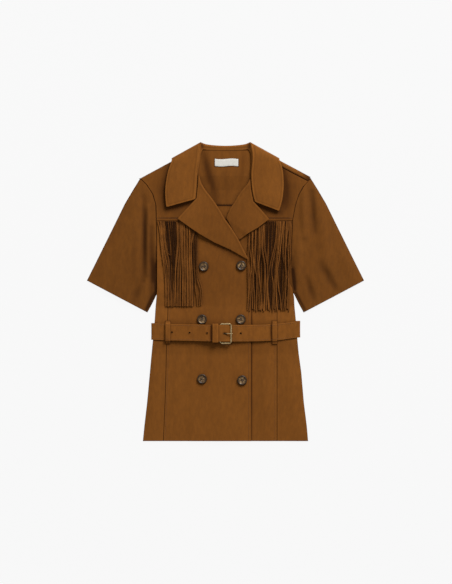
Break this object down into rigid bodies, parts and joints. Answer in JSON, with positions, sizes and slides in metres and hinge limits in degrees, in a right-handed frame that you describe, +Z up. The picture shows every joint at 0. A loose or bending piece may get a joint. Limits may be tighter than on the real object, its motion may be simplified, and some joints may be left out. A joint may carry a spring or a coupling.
{
  "type": "belted double-breasted jacket",
  "caption": "Short-sleeved double-breasted jacket in tan suede-like cloth, with notched lapels, fringed front yokes and a buckled belt, laid flat on its back.",
  "frame": {"origin": "on the surface the jacket lies on, below the middle of its outline", "axes": "+X towards the wearer's left sleeve, +Y towards the collar, +Z up from the surface; the front faces +Z"},
  "size_m": [0.651, 0.702, 0.0185],
  "materials": {
    "suede_cloth": "heavy napped suede-like cloth, matt, cognac brown",
    "fringe_cloth": "the same cloth cut into fringe, raw edges",
    "belt_cloth": "the same cloth, folded and edge-stitched",
    "pale_brass": "pale antique brass, satin",
    "horn": "marbled imitation horn, dark rim, polished",
    "label_cloth": "white satin tape, bare"
  },
  "bodies": {
    "root": {"back_panel": "suede_cloth", "back_yoke": "suede_cloth", "front_yoke_right": "suede_cloth", "front_yoke_left": "suede_cloth", "front_right": "suede_cloth", "front_left": "suede_cloth", "side_front_right": "suede_cloth", "side_front_left": "suede_cloth", "collar": "suede_cloth", "lapel_right": "suede_cloth", "lapel_left": "suede_cloth", "sleeve_right": "suede_cloth", "sleeve_left": "suede_cloth", "fringe_right": "fringe_cloth", "fringe_left": "fringe_cloth", "belt": "belt_cloth", "belt_loop_right": "belt_cloth", "belt_loop_left": "belt_cloth", "belt_keeper": "belt_cloth", "buckle_frame": "pale_brass", "buckle_prong": "pale_brass", "neck_label": "label_cloth", "button_top_right": "horn", "button_top_left": "horn", "button_middle_right": "horn", "button_middle_left": "horn", "button_low_right": "horn", "button_low_left": "horn"}
  },
  "joints": []
}
